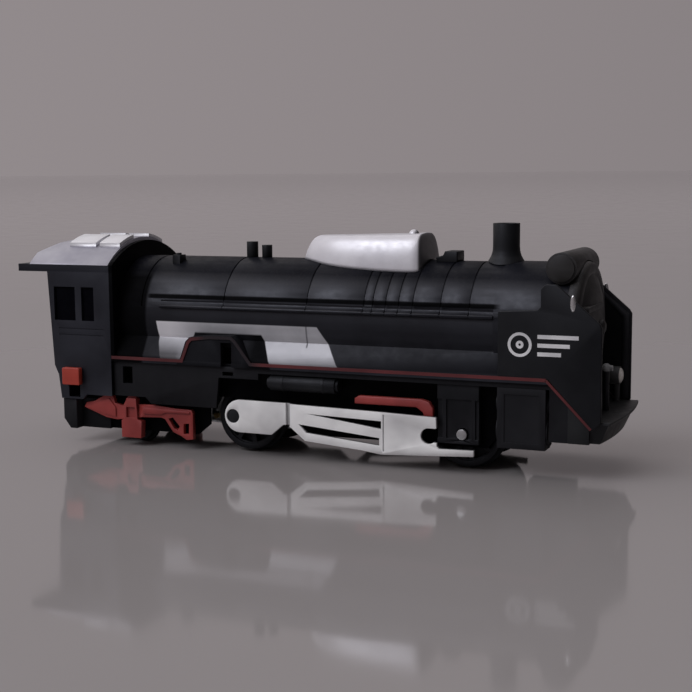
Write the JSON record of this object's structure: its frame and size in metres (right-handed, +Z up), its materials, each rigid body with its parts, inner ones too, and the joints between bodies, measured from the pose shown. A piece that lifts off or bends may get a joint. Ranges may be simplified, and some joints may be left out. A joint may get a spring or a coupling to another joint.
{
  "type": "clockwork toy locomotive",
  "caption": "Wind-up toy steam locomotive with smoke deflectors, silver roof and dome, white side rods and a clockwork motor.",
  "frame": {"origin": "on the centre line at rail level, about midway between the roof's rear edge and the front beam", "axes": "+X forward along the locomotive, +Y to its left side, +Z up"},
  "size_m": [0.1925, 0.0554, 0.0702],
  "materials": {
    "chassis_plastic": "moulded, matt",
    "boiler_plastic": "glossy blue-black, silver painted panel on each side",
    "cab_plastic": "satin",
    "silver_paint": "silver sprayed plastic",
    "fitting_plastic": "satin",
    "deflector_plastic": null,
    "lens": "milky",
    "grey_metal": "dull",
    "red_plastic": "moulded red",
    "steel": "cold rolled",
    "spring_steel": "blued",
    "brass": "stamped",
    "wheel_plastic": "moulded",
    "tyre_rubber": "rubber ring",
    "rod_plastic": "off-white moulding",
    "knob_plastic": "orange-red moulding",
    "key_metal": "nickel plated"
  },
  "bodies": {
    "body": {"chassis": "chassis_plastic", "boiler_shell": "boiler_plastic", "cab": "cab_plastic", "cab_roof": "silver_paint", "dome_casing": "silver_paint", "chimney": "fitting_plastic", "feedwater_heater": "fitting_plastic", "smokebox_front": "fitting_plastic", "deflector_right": "deflector_plastic", "deflector_left": "deflector_plastic", "headlamps": "fitting_plastic", "headlamp_lenses": "lens", "hose_stand": "grey_metal", "safety_valves": "fitting_plastic", "turret_box": "fitting_plastic", "whistle": "fitting_plastic", "air_tank_right": "fitting_plastic", "air_tank_left": "fitting_plastic", "guide_block_right": "chassis_plastic", "guide_block_left": "chassis_plastic", "cylinder_right": "chassis_plastic", "cylinder_left": "chassis_plastic", "front_beam": "chassis_plastic", "trailing_frame_right": "red_plastic", "trailing_frame_left": "red_plastic", "valve_bracket_right": "red_plastic", "valve_bracket_left": "red_plastic", "motor_plate_right": "steel", "motor_plate_left": "steel", "motor_pillars": "brass", "mainspring": "spring_steel", "body_screws": "steel"},
    "drawbar_link": {"drawbar": "chassis_plastic"},
    "winding_train": {"great_wheel": "brass", "winding_arbor": "steel", "ratchet_wheel": "steel", "click": "brass", "winding_key": "key_metal"},
    "second_train": {"second_arbor": "steel", "second_pinion": "steel", "second_wheel": "brass"},
    "governor": {"governor_arbor": "steel", "governor_pinion": "steel", "governor_fly": "brass"},
    "driving_wheels": {"drive_axle": "steel", "drive_pinion": "steel", "governor_wheel": "brass", "drive_wheel_right": "wheel_plastic", "drive_wheel_left": "wheel_plastic", "drive_tyres": "tyre_rubber", "crank_pins": "fitting_plastic"},
    "rod_right": {"connecting_rod_right": "rod_plastic"},
    "rod_left": {"connecting_rod_left": "rod_plastic"},
    "leading_wheels": {"front_axle": "steel", "front_wheels": "wheel_plastic"},
    "rear_wheels": {"trailing_axle": "steel", "trailing_wheels": "wheel_plastic"},
    "brake": {"brake_slide": "knob_plastic", "brake_lever": "steel"}
  },
  "joints": [
    {"name": "drive_axle_spin", "type": "hinge", "parent": "body", "child": "driving_wheels", "pos_m": [-0.0165, 0, 0.0111], "axis": [0, 1, 0], "continuous": true},
    {"name": "winding_spin", "type": "hinge", "parent": "body", "child": "winding_train", "pos_m": [0.006, 0, 0.032], "axis": [0, 1, 0], "continuous": true},
    {"name": "second_spin", "type": "hinge", "parent": "body", "child": "second_train", "pos_m": [-0.01052, 0, 0.02486], "axis": [0, 1, 0], "continuous": true},
    {"name": "governor_spin", "type": "hinge", "parent": "body", "child": "governor", "pos_m": [-0.02689, 0, 0.0171], "axis": [0, 1, 0], "continuous": true},
    {"name": "rod_right_pivot", "type": "hinge", "parent": "driving_wheels", "child": "rod_right", "pos_m": [-0.01865, -0.0204, 0.0122], "axis": [0, 1, 0], "continuous": true},
    {"name": "rod_left_pivot", "type": "hinge", "parent": "driving_wheels", "child": "rod_left", "pos_m": [-0.01435, 0.0204, 0.01], "axis": [0, 1, 0], "continuous": true},
    {"name": "leading_wheels_spin", "type": "hinge", "parent": "body", "child": "leading_wheels", "pos_m": [0.0534, 0, 0.0111], "axis": [0, 1, 0], "continuous": true},
    {"name": "rear_wheels_spin", "type": "hinge", "parent": "body", "child": "rear_wheels", "pos_m": [-0.0563, 0, 0.0057], "axis": [0, 1, 0], "continuous": true},
    {"name": "brake_travel", "type": "slide", "parent": "body", "child": "brake", "axis": [0, 0, 1], "range_m": [-0.0035, 0]},
    {"name": "drawbar_swing", "type": "hinge", "parent": "body", "child": "drawbar_link", "pos_m": [-0.072, 0, 0.0087], "axis": [0, 0, 1], "range_deg": [-20, 20]}
  ],
  "couplings": [
    {"joint": "second_spin", "follows": "drive_axle_spin", "ratio": -0.38889},
    {"joint": "winding_spin", "follows": "drive_axle_spin", "ratio": 0.097222},
    {"joint": "governor_spin", "follows": "drive_axle_spin", "ratio": -2.3333},
    {"joint": "rod_right_pivot", "follows": "drive_axle_spin", "ratio": -1},
    {"joint": "rod_left_pivot", "follows": "drive_axle_spin", "ratio": -1}
  ]
}
